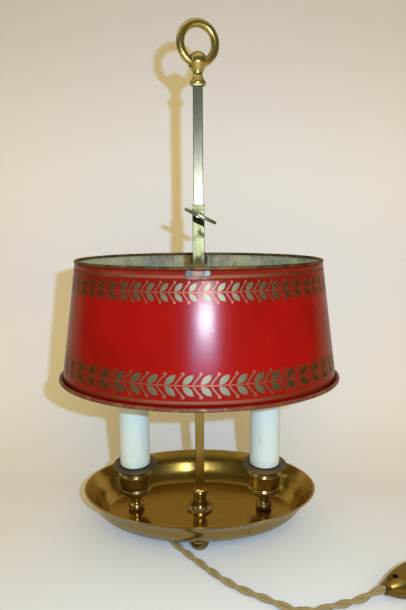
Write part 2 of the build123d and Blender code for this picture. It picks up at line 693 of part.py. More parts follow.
# ---- plug, two round pins
plug_face = make_face(Polyline((0, -5), (0, 5), (9, 6.4), (23, plug_half_w), (plug_len, plug_half_w),
                               (plug_len, -plug_half_w), (23, -plug_half_w), (9, -6.4), (0, -5)))
shoulders = plug_face.vertices().filter_by(lambda v: 5 < v.X < 30)
plug_face = fillet(shoulders, 8)
plug_face = fillet(plug_face.vertices().sort_by(Axis.X)[-2:], 2)
plug = extrude(plug_face, plug_h / 2, both=True)
plug = fillet(plug.edges().group_by(Axis.Z)[-1], 2)
plug = fillet(plug.edges().group_by(Axis.Z)[0], 2)
plug_frame = Pos(plug_at[0], plug_at[1], plug_z) * Rot(0, 0, plug_turn)
pins = []
for side in (-1, 1):
    pin = Pos(plug_len, side * pin_gap / 2, 0) * Rot(0, 90, 0)
    plug -= pin * cyl(pin_r + seat_gap, -12, 1)
    whole = cyl(pin_r, -11.9, pin_len)
    pins.append(pin * fillet(whole.edges().sort_by(Axis.Z)[-1], 1.2))
save(plug_frame * plug, "plug_body")
save(Compound(children=[plug_frame * pin for pin in pins]), "plug_pins")
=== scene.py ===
import math

import bmesh
import bpy
from mathutils import Matrix, Vector


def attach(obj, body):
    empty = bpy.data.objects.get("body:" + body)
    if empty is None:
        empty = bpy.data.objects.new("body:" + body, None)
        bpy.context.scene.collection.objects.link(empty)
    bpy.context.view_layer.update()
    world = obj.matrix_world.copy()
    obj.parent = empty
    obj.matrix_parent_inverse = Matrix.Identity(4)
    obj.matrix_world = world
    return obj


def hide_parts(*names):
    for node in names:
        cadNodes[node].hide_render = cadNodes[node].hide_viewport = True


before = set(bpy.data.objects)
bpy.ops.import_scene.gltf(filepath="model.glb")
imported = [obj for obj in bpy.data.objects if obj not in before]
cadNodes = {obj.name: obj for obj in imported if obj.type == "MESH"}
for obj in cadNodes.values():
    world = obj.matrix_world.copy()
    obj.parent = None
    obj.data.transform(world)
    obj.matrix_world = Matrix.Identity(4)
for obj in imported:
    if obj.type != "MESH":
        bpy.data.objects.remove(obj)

scene = bpy.context.scene
scene.view_settings.view_transform = "Standard"
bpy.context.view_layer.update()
mm = 0.001


# ---------- shader arithmetic

class Wire:
    # an output socket that can be added, scaled and compared with others
    def __init__(self, graph, socket):
        self.graph = graph
        self.socket = socket

    def maths(self, operation, *values):
        return self.graph.node("ShaderNodeMath", {"operation": operation}, values)

    def __add__(self, other):
        return self.maths("ADD", self, other)

    def __radd__(self, other):
        return self.maths("ADD", other, self)

    def __sub__(self, other):
        return self.maths("SUBTRACT", self, other)

    def __rsub__(self, other):
        return self.maths("SUBTRACT", other, self)

    def __mul__(self, other):
        return self.maths("MULTIPLY", self, other)

    def __rmul__(self, other):
        return self.maths("MULTIPLY", other, self)

    def __truediv__(self, other):
        return self.maths("DIVIDE", self, other)

    def __abs__(self):
        return self.maths("ABSOLUTE", self)

    def sine(self):
        return self.maths("SINE", self)

    def most(self, other):
        return self.maths("MAXIMUM", self, other)

    def wrap(self, half):
        return self.maths("WRAP", self, half, -half)

    def ramp(self, low, high, end=1.0):
        # rises smoothly from 0 at low to end at high
        values = {"Value": self, "From Min": low, "From Max": high, "To Max": end}
        return self.graph.node("ShaderNodeMapRange", {"interpolation_type": "SMOOTHSTEP"}, values)


class Graph:
    # a node tree, and the place at which its patterns are read
    def __init__(self, tree, place):
        self.tree = tree
        self.place = self.node("ShaderNodeTexCoord", output=place)

    def node(self, kind, settings=None, values=None, output=0):
        made = self.tree.nodes.new(kind)
        for name, value in (settings or {}).items():
            if name == "stops":
                stops = made.color_ramp.elements
                while len(stops) < len(value):
                    stops.new(1.0)
                for stop, (at, colour) in zip(stops, value):
                    stop.position = at
                    stop.color = (*colour, 1.0)
            else:
                setattr(made, name, value)
        pairs = values.items() if isinstance(values, dict) else enumerate(values or ())
        for name, value in pairs:
            if isinstance(value, Wire):
                self.tree.links.new(value.socket, made.inputs[name])
            elif value is not None:
                socket = made.inputs[name]
                colour = socket.type == "RGBA" and len(value) == 3
                socket.default_value = (*value, 1.0) if colour else value
        return Wire(self, made.outputs[output])

    def axes(self, place=None):
        split = self.node("ShaderNodeSeparateXYZ", None, [place or self.place]).socket.node
        return [Wire(self, split.outputs[i]) for i in range(3)]

    def stretched(self, scale):
        return self.node("ShaderNodeMapping", None, {"Vector": self.place, "Scale": scale})

    def noise(self, scale, detail=3.0, rough=0.55, place=None):
        values = {"Vector": place or self.place, "Scale": scale, "Detail": detail,
                  "Roughness": rough}
        return self.node("ShaderNodeTexNoise", None, values)

    def mix(self, mask, first, second):
        values = {0: mask, 6: first, 7: second}
        return self.node("ShaderNodeMix", {"data_type": "RGBA"}, values, output=2)


class Finish(Graph):
    # a material
    def __init__(self, name, **fixed):
        self.material = bpy.data.materials.new(name)
        self.material.use_nodes = True
        super().__init__(self.material.node_tree, "Object")
        self.shader = self.tree.nodes["Principled BSDF"]
        for socket, value in fixed.items():
            self.shader.inputs[socket].default_value = value

    def feed(self, socket, value):
        self.tree.links.new(value.socket, self.shader.inputs[socket])

    def bump(self, height, depth, strength):
        # depth in millimetres
        values = {"Height": height, "Strength": strength, "Distance": depth * mm}
        self.feed("Normal", self.node("ShaderNodeBump", None, values))


def srgb(r, g, b):
    def linear(v):
        v /= 255
        return v / 12.92 if v <= 0.04045 else ((v + 0.055) / 1.055) ** 2.4
    return (linear(r), linear(g), linear(b))


def palette(**tones):
    return {name: srgb(*tone) for name, tone in tones.items()}


# ---------- metals, plastics, sleeves and bulbs

tarnish = {"amount": 0.75, "spots": 0.35, "dullsBy": 0.18, "brushedBy": 0.10}
# band gives the slider a painted shadow under the clamp key, aged paints shade on the stem below
# the lampshade, dusty is dust on the cups' lips
markTones = palette(band=(50, 30, 13), aged=(178, 142, 52), dusty=(66, 54, 42))


def brassFinish(name, tones, roughness, patina, across=(60, 60, 1400), cloudScale=26,
                band=None, dusty=None, aged=None):
    bright, dull, deep = [srgb(*tone) for tone in tones]
    metal = Finish(name, Metallic=1.0)
    cloud = metal.noise(cloudScale, detail=5.0, rough=0.62)
    stain = cloud.ramp(0.62 - 0.3 * patina, 0.80 - 0.2 * patina)
    spots = metal.noise(340, detail=2.0, rough=0.6).ramp(0.60, 0.74)
    brushed = metal.noise(1.0, detail=2.0, rough=0.7, place=metal.stretched(across))
    tone = metal.mix(brushed.ramp(0.3, 0.7, end=0.5), bright, dull)
    tone = metal.mix(stain * tarnish["amount"], tone, deep)
    tone = metal.mix(spots * tarnish["spots"], tone, deep)
    if band:
        # painted shadow of the clamp key: a slanting band of deep brown on the front only
        x, y, z = metal.axes()
        off = abs(z + x * band["slope"] - band["z"])
        front = y.ramp(*band["front"])
        keyShadow = off.ramp(band["half"] + band["soft"], band["half"] - band["soft"]) * front
        tone = metal.mix(keyShadow * (0.8 + 0.2 * cloud), tone, markTones["band"])
        stain = stain.most(keyShadow * 2)
    if aged:
        # painted shade: darker and browner below the lampshade
        low = metal.axes()[2].ramp(*aged)
        tone = metal.mix(low * (0.6 + 0.4 * cloud), tone, markTones["aged"])
    if dusty:
        # the flat top of a cup's lip, dull and dusty
        top = metal.axes()[2].ramp(*dusty)
        tone = metal.mix(top * (0.7 + 0.4 * cloud), tone, markTones["dusty"])
        metal.feed("Metallic", 1 - top * 0.7)
        stain = stain.most(top * 2)
    metal.feed("Base Color", tone)
    wear = tarnish["dullsBy"] * stain + tarnish["brushedBy"] * brushed
    metal.feed("Roughness", roughness + wear)
    metal.bump(brushed * 0.5 + cloud, depth=0.04, strength=0.35)
    return metal.material


rimTones = palette(paint=(104, 40, 28), brass=(150, 118, 76))
steelTones = palette(bright=(168, 168, 164), dull=(120, 118, 112))


def rimFinish():
    # red-brown paint over the rolled edge, worn through to the brass
    rim = Finish("wornRim")
    cloud = rim.noise(90, detail=5.0, rough=0.65)
    worn = cloud.ramp(0.50, 0.66)
    rim.feed("Base Color", rim.mix(worn, rimTones["paint"], rimTones["brass"]))
    rim.feed("Metallic", worn * 0.8)
    rim.feed("Roughness", 0.30 + 0.2 * cloud)
    rim.bump(cloud, depth=0.06, strength=0.5)
    return rim.material


def steelFinish():
    metal = Finish("zincSteel", Metallic=1.0)
    cloud = metal.noise(160, detail=4.0, rough=0.6)
    tone = metal.mix(cloud.ramp(0.35, 0.7), steelTones["bright"], steelTones["dull"])
    metal.feed("Base Color", tone)
    metal.feed("Roughness", 0.32 + 0.25 * cloud)
    metal.bump(metal.noise(900, detail=2.0), depth=0.03, strength=0.4)
    return metal.material


def mouldedFinish(name, colour, dusty, roughness, grain=1400):
    colour, dusty = srgb(*colour), srgb(*dusty)
    plastic = Finish(name)
    cloud = plastic.noise(70, detail=4.0, rough=0.6)
    speck = plastic.noise(grain, detail=2.0, rough=0.5)
    plastic.feed("Base Color", plastic.mix(cloud.ramp(0.45, 0.75), colour, dusty))
    plastic.feed("Roughness", roughness + 0.15 * cloud)
    plastic.bump(speck, depth=0.02, strength=0.3)
    return plastic.material


# tones are bright, dull and deep; then roughness and patina; lengths in metres
brass = {
    "tray": brassFinish("trayBrass", ((190, 157, 76), (168, 136, 60), (130, 102, 44)), 0.13, 0.15,
                        across=(30, 900, 900)),
    "turned": brassFinish("turnedBrass", ((182, 156, 100), (136, 112, 68), (62, 48, 32)),
                          0.17, 0.6),
    "cup": brassFinish("cupBrass", ((204, 176, 112), (152, 126, 74), (68, 52, 34)), 0.17, 0.6,
                       dusty=(0.0562, 0.0566)),
    # the stem is painted darker and browner below the lampshade, a painted shade
    "stem": brassFinish("stemBrass", ((186, 184, 152), (156, 154, 124), (104, 100, 70)),
                        0.24, 0.35, across=(900, 900, 40), aged=(0.205, 0.150)),
    # the slider carries a painted shadow under the clamp key
    "slider": brassFinish("sliderBrass", ((138, 134, 92), (106, 98, 60), (64, 52, 28)),
                          0.36, 0.40, across=(900, 900, 40), cloudScale=120,
                          band={"z": 0.2757, "slope": 0.47, "half": 0.0027, "soft": 0.0004,
                                "front": (-0.0046, -0.0049)}),
    "finial": brassFinish("finialBrass", ((226, 204, 126), (194, 172, 94), (112, 94, 44)),
                          0.25, 0.5),
    "switch": brassFinish("switchBrass", ((156, 124, 54), (128, 98, 38), (86, 62, 22)), 0.27, 0.4),
    "edge": brassFinish("edgeWireBrass", ((150, 130, 84), (124, 104, 62), (84, 60, 34)), 0.42, 0.8,
                        across=(60, 60, 900), cloudScale=70),
}
steel = steelFinish()
plastics = {
    "fibre": mouldedFinish("blackFibre", (26, 28, 36), (44, 44, 48), 0.55),
    "holder": mouldedFinish("phenolic", (34, 24, 20), (60, 48, 40), 0.35),
    "block": mouldedFinish("whiteBlock", (222, 218, 206), (190, 182, 166), 0.4),
    "wire": mouldedFinish("ivorySheath", (206, 200, 180), (170, 160, 138), 0.5),
    "plug": mouldedFinish("plugBrown", (58, 38, 22), (84, 62, 42), 0.32),
    "rivet": mouldedFinish("oxidisedRivet", (62, 64, 74), (112, 112, 112), 0.22, grain=700),
    "rocker": mouldedFinish("rockerBlack", (22, 20, 18), (52, 48, 44), 0.3),
}


sleeveTones = palette(card=(209, 212, 208), aged=(192, 197, 194), grime=(150, 152, 142))
bulbTones = palette(glass=(236, 234, 226), low=(196, 192, 180), dust=(206, 202, 190))


def candleFinish():
    card = Finish("candleSleeve")
    z = card.axes()[2]
    cloud = card.noise(45, detail=4.0, rough=0.6)
    rub = card.noise(1.0, detail=3.0, rough=0.6, place=card.stretched((260, 260, 30)))
    # darker where it stands in the collar
    foot = z.ramp(0.066, 0.057) * cloud.ramp(0.3, 0.6) * 0.55
    grime = (rub.ramp(0.62, 0.8) * 0.35).most(foot)
    tone = card.mix(cloud.ramp(0.4, 0.75, end=0.5), sleeveTones["card"], sleeveTones["aged"])
    tone = card.mix(grime, tone, sleeveTones["grime"])
    card.feed("Base Color", tone)
    card.feed("Roughness", 0.34 + 0.2 * cloud)
    card.bump(rub, depth=0.03, strength=0.3)
    return card.material


def pearlFinish():
    pearl = Finish("pearlGlass", IOR=1.45)
    dust = pearl.noise(120, detail=3.0, rough=0.6)
    # greyer near the cap
    low = pearl.axes()[2].ramp(0.150, 0.142)
    tone = pearl.mix(low, bulbTones["glass"], bulbTones["low"])
    tone = pearl.mix(dust.ramp(0.5, 0.8, end=0.3), tone, bulbTones["dust"])
    pearl.feed("Base Color", tone)
    pearl.feed("Roughness", 0.22 + 0.2 * dust)
    pearl.bump(dust, depth=0.02, strength=0.3)
    return pearl.material


print("finishes ready")


# ---------- dressing the solid parts

def dress(material, *names):
    for name in names:
        node = cadNodes[name]
        node.data.materials.clear()
        node.data.materials.append(material)


def both(*parts):
    return [f"{part}_{side}" for side in ("left", "right") for part in parts]


dress(brass["tray"], "tray", "foot_screws", "shade_strap")
dress(brass["turned"], "stem_foot", "foot_front", "foot_back_left", "foot_back_right")
dress(brass["cup"], *both("candle_cup"))
dress(brass["stem"], "stem_bar", "key_screw", "key_grip")
dress(brass["slider"], "slider_sleeve", "clamp_boss")
dress(brass["finial"], "finial", "finial_ring", "clamp_pad", "plug_pins")
dress(brass["switch"], "switch_lower", "switch_upper")
dress(brass["edge"], "shade_top_wire")
dress(rimFinish(), "shade_bottom_wire")
dress(plastics["rivet"], "shade_rivets")
dress(steel, "terminal_plate", "stem_washer", "stem_bolt", "cord_clip", "plate_screws",
      "switch_screws", *both("cup_nipple", "nipple_nuts", "bulb_cap"))
dress(plastics["fibre"], *both("candle_collar"))
dress(plastics["holder"], *both("lampholder", "lampholder_base"))
dress(plastics["block"], "terminal_block")
dress(plastics["wire"], "cord_leads", *both("lamp_wire"))
dress(plastics["plug"], "plug_body")
dress(plastics["rocker"], "switch_rocker")
dress(candleFinish(), *both("candle_sleeve"))
dress(pearlFinish(), *both("bulb_glass"))
print("solid parts dressed")


# ---------- camera

view = {
    "place": (0.0035, -0.4305, 0.2793),
    "pitch": 0.1735,         # radians, looking down
    "roll": 0.004,
    "focalPixels": 505,
    "highPixels": 610,
    "sensor": 36,
}


def makeCamera():
    data = bpy.data.cameras.new("viewCamera")
    data.sensor_fit = "VERTICAL"
    data.sensor_height = view["sensor"]
    data.lens = view["focalPixels"] / view["highPixels"] * view["sensor"]
    data.clip_start = 0.01
    data.clip_end = 20
    camera = bpy.data.objects.new("viewCamera", data)
    scene.collection.objects.link(camera)
    tip = Matrix.Rotation(math.pi / 2 - view["pitch"], 4, "X")
    roll = Matrix.Rotation(-view["roll"], 4, "Z")
    camera.matrix_world = Matrix.Translation(view["place"]) @ tip @ roll
    scene.camera = camera


makeCamera()
print("camera placed")


# ---------- the two runs of twisted cord

def heading(degrees):
    return Vector((math.cos(math.radians(degrees)), math.sin(math.radians(degrees)), 0))


cord = {
    "diameter": 5.6 * mm,
    "strand": 1.42 * mm,     # radius of one strand
    "lay": 30 * mm,          # one full turn of the twist
    "step": 1.3 * mm,
    "sides": 10,
    "uvPerMetre": 10,
}
# routes and places from here on are in millimetres
restZ = 3.0
switchTip = Vector((137.0, -99.5, 8.1))
switchWay = heading(20)
switchLength = 70
switchFar = switchTip + switchLength * switchWay
switchStraight = 8       # the cord runs straight for so long beside the switch
routeToSwitch = [
    (-37, -8, 7.0), (-37, -21, 5.6), (-25.5, -34, restZ), (-4, -59.4, restZ),
    (24.5, -89.6, restZ), (49, -103, restZ), (73.5, -117.6, restZ), (101.5, -109.1, restZ),
    (118, -105.4, 3.6), tuple(switchTip - switchStraight * switchWay), tuple(switchTip),
]
coil = {
    "x": 254.0, "y": -27.0, "r": 31.0,
    "turns": 7, "start": -96, "end": 8,      # degrees
    "perTurn": 16,
    "shift": 60,             # degrees over which a turn moves to the next seat
}


def coilPoints():
    # four turns on the table from outside in, three in the grooves above them from inside out,
    # and part of a turn on top
    half = cord["diameter"] / mm / 2
    high = restZ + math.sqrt(3) * half
    top = 2 * high - restZ
    seats = [(3 * half, restZ), (half, restZ), (-half, restZ), (-3 * half, restZ),
             (-2 * half, high), (0, high), (2 * half, high), (half, top), (half, top)]
    sweep = 360 * coil["turns"] + coil["end"] - coil["start"]
    steps = round(sweep / 360 * coil["perTurn"])
    points = []
    for i in range(steps + 1):
        run = sweep * i / steps
        turn = int(run // 360)
        part = max(0.0, run % 360 - (360 - coil["shift"])) / coil["shift"]
        (outA, zA), (outB, zB) = seats[turn], seats[turn + 1]
        out = outA + (outB - outA) * part
        angle = math.radians(coil["start"] + run)
        points.append((coil["x"] + (coil["r"] + out) * math.cos(angle),
                       coil["y"] + (coil["r"] + out) * math.sin(angle), zA + (zB - zA) * part))
    return points


plugAt = Vector((281.6, 22.0, 6.95))
plugWay = heading(98)
plugStraight = 7
routeToPlug = [
    tuple(switchFar), tuple(switchFar + switchStraight * switchWay),
    (221, -69.9, 4.8), (236, -67.2, restZ),
    *coilPoints(),
    (288.6, -12.0, 13.4), (287.4, -1.5, 12.4), (284.8, 8.5, 7.2),
    tuple(plugAt - plugStraight * plugWay), tuple(plugAt),
]


def cordLine(name, route):
    # the smooth line that a cord follows, read from its spline
    curve = bpy.data.curves.new(name, "CURVE")
    curve.dimensions = "3D"
    spline = curve.splines.new("NURBS")
    spline.points.add(len(route) - 1)
    for point, at in zip(spline.points, route):
        point.co = (at[0] * mm, at[1] * mm, at[2] * mm, 1.0)
    spline.order_u = 3
    spline.use_endpoint_u = True
    spline.resolution_u = 10
    holder = bpy.data.objects.new(name, curve)
    scene.collection.objects.link(holder)
    mesh = bpy.data.meshes.new_from_object(holder)
    line = [v.co.copy() for v in mesh.vertices]
    bpy.data.objects.remove(holder)
    bpy.data.meshes.remove(mesh)
    return evenly(line, cord["step"])


def evenly(line, step):
    lengths = [0.0]
    for a, b in zip(line, line[1:]):
        lengths.append(lengths[-1] + (b - a).length)
    count = max(2, round(lengths[-1] / step))
    out = []
    k = 0
    for i in range(count + 1):
        at = lengths[-1] * i / count
        while k < len(line) - 2 and lengths[k + 1] < at:
            k += 1
        span = lengths[k + 1] - lengths[k]
        out.append(line[k].lerp(line[k + 1], (at - lengths[k]) / span if span else 0.0))
    return out


def twistedCord(name, line):
    # two strands laid round the line, with length and girth kept in the UV map for the braid
    side = Vector((0, 0, 1))
    verts, faces, marks = [], [], []
    sides = cord["sides"]
    offset = cord["diameter"] / 2 - cord["strand"]
    along = 0.0
    rings = [[], []]
    for i, at in enumerate(line):
        ahead = (line[min(i + 1, len(line) - 1)] - line[max(i - 1, 0)]).normalized()
        side = (side - ahead * side.dot(ahead)).normalized()
        other = ahead.cross(side)
        if i:
            along += (at - line[i - 1]).length
        for strand in range(2):
            turn = 2 * math.pi * along / cord["lay"] + math.pi * strand
            centre = at + offset * (math.cos(turn) * side + math.sin(turn) * other)
            lean = 2 * math.pi * offset / cord["lay"]
            way = (ahead + lean * (math.cos(turn) * other - math.sin(turn) * side)).normalized()
            u = (side - way * side.dot(way)).normalized()
            v = way.cross(u)
            first = len(verts)
            for k in range(sides):
                a = 2 * math.pi * k / sides
                verts.append(centre + cord["strand"] * (math.cos(a) * u + math.sin(a) * v))
            rings[strand].append((first, along))
    for strand in range(2):
        for (low, lowAt), (high, highAt) in zip(rings[strand], rings[strand][1:]):
            for k in range(sides):
                n = (k + 1) % sides
                faces.append((low + k, low + n, high + n, high + k))
                marks.append((lowAt, highAt, k / sides, (k + 1) / sides))
        for (end, at), flip in ((rings[strand][0], True), (rings[strand][-1], False)):
            cap = [end + k for k in range(sides)]
            faces.append(cap[::-1] if flip else cap)
            marks.append(None)
    mesh = bpy.data.meshes.new(name)
    mesh.from_pydata(verts, [], faces)
    layer = mesh.uv_layers.new(name="alongCord")
    for face, mark in zip(mesh.polygons, marks):
        if mark:
            lowAt, highAt, left, right = mark
            spots = ((lowAt, left), (lowAt, right), (highAt, right), (highAt, left))
            for loop, spot in zip(face.loop_indices, spots):
                layer.data[loop].uv = (spot[0] * cord["uvPerMetre"], spot[1])
        face.use_smooth = mark is not None
    piece = bpy.data.objects.new(name, mesh)
    scene.collection.objects.link(piece)
    return piece


plait = {"perMillimetre": 4.6, "round": 3}   # radians along the cord, threads round it
silkTones = palette(groove=(92, 66, 28), thread=(176, 150, 98), soiled=(126, 98, 52),
                    fluff=(212, 192, 142))


def braidFinish():
    silk = Finish("goldBraid", **{"Sheen Weight": 0.25, "Sheen Roughness": 0.4})
    at = silk.node("ShaderNodeUVMap", {"uv_map": "alongCord"})
    u, v, _ = silk.axes(at)
    along = u * (1 / cord["uvPerMetre"] / mm) * plait["perMillimetre"]
    around = v * (2 * math.pi * plait["round"])
    ribs = (along + around).sine().most((along - around).sine())
    cloud = silk.noise(90, detail=4.0, rough=0.6)
    fluff = silk.noise(2600, detail=2.0, rough=0.6)
    tone = silk.mix(ribs.ramp(-0.1, 0.95), silkTones["groove"], silkTones["thread"])
    tone = silk.mix(cloud.ramp(0.45, 0.75, end=0.45), tone, silkTones["soiled"])
    tone = silk.mix(fluff.ramp(0.55, 0.8, end=0.4), tone, silkTones["fluff"])
    silk.feed("Base Color", tone)
    silk.feed("Roughness", 0.62 - 0.2 * ribs.ramp(0.0, 1.0))
    silk.bump(ribs + fluff * 0.3, depth=0.22, strength=0.8)
    return silk.material


braid = braidFinish()
lineToSwitch = cordLine("lineToSwitch", routeToSwitch)
lineToPlug = cordLine("lineToPlug", routeToPlug)
for line in (lineToSwitch, lineToPlug):
    print("cord length", round(sum((b - a).length for a, b in zip(line, line[1:])), 4))
cordToSwitch = twistedCord("cordToSwitch", lineToSwitch)
cordToPlug = twistedCord("cordToPlug", lineToPlug)
for piece, parts in ((cordToSwitch, ["cord_to_switch"]),
                     (cordToPlug, ["cord_tail", "cord_coil", "cord_end"])):
    piece.data.materials.append(braid)
    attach(piece, "base")
    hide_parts(*parts)
print("cords laid")


# ---------- the painted shade

shade = {
    "lowA": 118.6, "lowB": 87.6, "lowZ": 143.2,      # outside of the sheet
    "highA": 104.3, "highB": 72.4, "highZ": 243.0,
    "bottom": 141.6, "top": 241.78,
    "sheet": 0.81,
    "segments": 288,
    "rings": 12,
    "girthZ": 193.0,         # where lengths round the shade are measured
    "uvHeight": 100,         # millimetres to one unit of the UV map
}
bands = [
    {"count": 56, "stem": 226.0, "wide": 0.80, "tall": 0.86, "phase": -0.365},
    {"count": 48, "stem": 160.0, "wide": 1.00, "tall": 1.00, "phase": -0.14},
]
# one repeat of a band, with x to the right of its node and y above its stem line
leaf = {"x": 3.7, "y": 4.1, "length": 10.6, "width": 4.9, "angle": 42,
        "outline": 0.48, "soft": 0.15, "rib": (0.32, 0.12), "ribEnds": (0.2, 0.5),
        "shadow": (-0.75, -0.25)}
stalk = {"x": -2.9, "y": 4.0, "length": 8.4, "angle": 51, "bow": 0.016, "rise": 0.15,
         "thick": 0.55, "edge": (0.15, -0.1), "soft": 0.2, "shadow": (0.8, 0.3)}
berry = {"x": 0.1, "y": 8.3, "r": 1.25, "soft": 0.2}
# how thickly each part is gilded
gilding = {"stalk": 0.9, "stem": 0.85, "worn": 0.45, "over": 0.85, "leafMetal": 0.85,
           "goldMetal": 0.7}
stemLine = (0.6, 0.3)
bandReach = (9.6, 9.2)
rimLines = {"heights": (237.0, 147.6), "edge": (1.25, 1.0)}
shadeTones = palette(red=(146, 6, 4), cloudy=(132, 5, 4), fine=(110, 5, 4), browned=(86, 16, 8),
                     shadow=(92, 30, 18), chip=(196, 120, 110), rubbed=(166, 140, 136),
                     gilt=(176, 108, 82), giltSide=(124, 66, 34), leaf=(134, 138, 112),
                     leafSide=(86, 76, 30), rib=(84, 80, 40))
# wear and painted shade on the red paint: darker and browner at the top and bottom edges, painted
# shade at the ends and on the gilding away from the middle, and paint rubbed bare by the rivets
wearAndShade = {
    "top": (214, 234), "foot": (172, 150),               # darker and browner, heights in millimetres
    "ends": (0.080, 0.112), "gilding": (0.018, 0.080),   # metres from the middle
    "rubbedX": (0.0095, 0.0055), "rubbedLow": (0.2345, 0.2365), "rubbedHigh": (0.2415, 0.2405),
    "topShare": 0.55, "footShare": 0.25, "endShare": 0.6,
}


def ovalAt(z, inside=0.0):
    part = (shade["highZ"] - z) / (shade["highZ"] - shade["lowZ"])
    a = shade["highA"] + (shade["lowA"] - shade["highA"]) * part - inside
    b = shade["highB"] + (shade["lowB"] - shade["highB"]) * part - inside
    return a * mm, b * mm


def moveRing(bm, verts, before, after, rise):
    bmesh.ops.scale(bm, verts=verts, vec=(after[0] / before[0], after[1] / before[1], 1.0))
    bmesh.ops.translate(bm, verts=verts, vec=(0, 0, rise))


def makeShade():
    bm = bmesh.new()
    rise = (shade["top"] - shade["bottom"]) / shade["rings"]
    a, b = ovalAt(shade["bottom"])
    made = bmesh.ops.create_circle(bm, segments=shade["segments"], radius=1.0)
    bmesh.ops.scale(bm, verts=made["verts"], vec=(a, b, 1.0))
    bmesh.ops.translate(bm, verts=made["verts"], vec=(0, 0, shade["bottom"] * mm))
    edges = firstEdges = bm.edges[:]
    z = shade["bottom"]
    inside = 0.0
    stops = [(shade["bottom"] + rise * (i + 1), 0.0) for i in range(shade["rings"])]
    stops += [(shade["top"] - rise * i, shade["sheet"]) for i in range(shade["rings"] + 1)]
    for nextZ, nextInside in stops:
        grown = bmesh.ops.extrude_edge_only(bm, edges=edges)["geom"]
        verts = [g for g in grown if isinstance(g, bmesh.types.BMVert)]
        edges = [g for g in grown if isinstance(g, bmesh.types.BMEdge)]
        moveRing(bm, verts, ovalAt(z, inside), ovalAt(nextZ, nextInside), (nextZ - z) * mm)
        z, inside = nextZ, nextInside
    bmesh.ops.bridge_loops(bm, edges=firstEdges + edges)
    bmesh.ops.recalc_face_normals(bm, faces=bm.faces[:])
    unroll(bm)
    mesh = bpy.data.meshes.new("shadeSkin")
    bm.to_mesh(mesh)
    bm.free()
    piece = bpy.data.objects.new("shadeSkin", mesh)
    scene.collection.objects.link(piece)
    return piece


def unroll(bm):
    # paint outside, lining inside, and a UV map of the share round the shade and the height
    layer = bm.loops.layers.uv.new("roundShade")
    table = arcTable(*ovalAt(shade["girthZ"]))
    for face in bm.faces:
        centre = face.calc_center_median()
        a, b = ovalAt(centre.z / mm, shade["sheet"] / 2)
        upright = abs(face.normal.z) < 0.9
        outside = upright and (centre.x / a) ** 2 + (centre.y / b) ** 2 > 1.0
        face.material_index = 0 if outside else 1
        face.smooth = upright
        spots = []
        for loop in face.loops:
            a, b = ovalAt(loop.vert.co.z / mm)
            # the seam is at the middle of the back
            turn = math.atan2(loop.vert.co.x / a, -loop.vert.co.y / b) / (2 * math.pi) + 0.5
            spots.append(arcShare(table, turn))
        if max(spots) - min(spots) > 0.5:
            spots = [s + 1.0 if s < 0.5 else s for s in spots]
        for loop, spot in zip(face.loops, spots):
            loop[layer].uv = (spot, loop.vert.co.z / mm / shade["uvHeight"])


def arcTable(a, b, steps=2000):
    # share of the way round an oval for each share of the full angle
    sums = [0.0]
    for i in range(steps):
        t = 2 * math.pi * (i + 0.5) / steps
        sums.append(sums[-1] + math.hypot(a * math.cos(t), b * math.sin(t)))
    return [s / sums[-1] for s in sums]


def arcShare(table, turn):
    at = min(max(turn, 0.0), 1.0) * (len(table) - 1)
    low = min(int(at), len(table) - 2)
    return table[low] + (table[low + 1] - table[low]) * (at - low)


def laurel(share, z, band, pitch):
    # one band: leaves, stalks and berries mirrored above and below a stem
    x = (share * band["count"] + band["phase"]) * pitch
    high = abs(z - band["stem"]) / band["tall"]

    def turnedTo(part, angle):
        across = (x / band["wide"] - part["x"]).wrap(pitch / band["wide"] / 2)
        up = high - part["y"]
        c, s = math.cos(math.radians(angle)), math.sin(math.radians(angle))
        return across * c + up * s, up * c - across * s

    # the distance inside a leaf's edge, which two arcs make
    s, t = turnedTo(leaf, leaf["angle"])
    s = s / (leaf["length"] / 2)
    inside = (1 - s * s) * (leaf["width"] / 2) - abs(t)
    fill = inside.ramp(leaf["outline"], leaf["outline"] + 2 * leaf["soft"])
    outline = inside.ramp(-leaf["soft"], leaf["soft"])
    rib = abs(t).ramp(*leaf["rib"]) * inside.ramp(*leaf["ribEnds"])
    under = inside.ramp(*leaf["shadow"])
    s, t = turnedTo(stalk, stalk["angle"])
    bowed = abs(t + s * s * stalk["bow"] - stalk["rise"]) - stalk["thick"]
    half = stalk["length"] / 2
    reach = abs(s).ramp(half + stalk["soft"], half - stalk["soft"])
    stick = bowed.ramp(*stalk["edge"]) * reach
    under = under.most(bowed.ramp(*stalk["shadow"]) * reach)
    s, t = turnedTo(berry, 0)
    outer, inner = berry["r"] + berry["soft"], berry["r"] - berry["soft"]
    dot = (s * s + t * t).ramp(outer ** 2, inner ** 2)
    stem = high.ramp(*stemLine) * gilding["stem"]
    gold = outline.most(stick * gilding["stalk"]).most(dot).most(stem)
    return {"leaf": fill, "gold": gold, "rib": rib, "under": under}


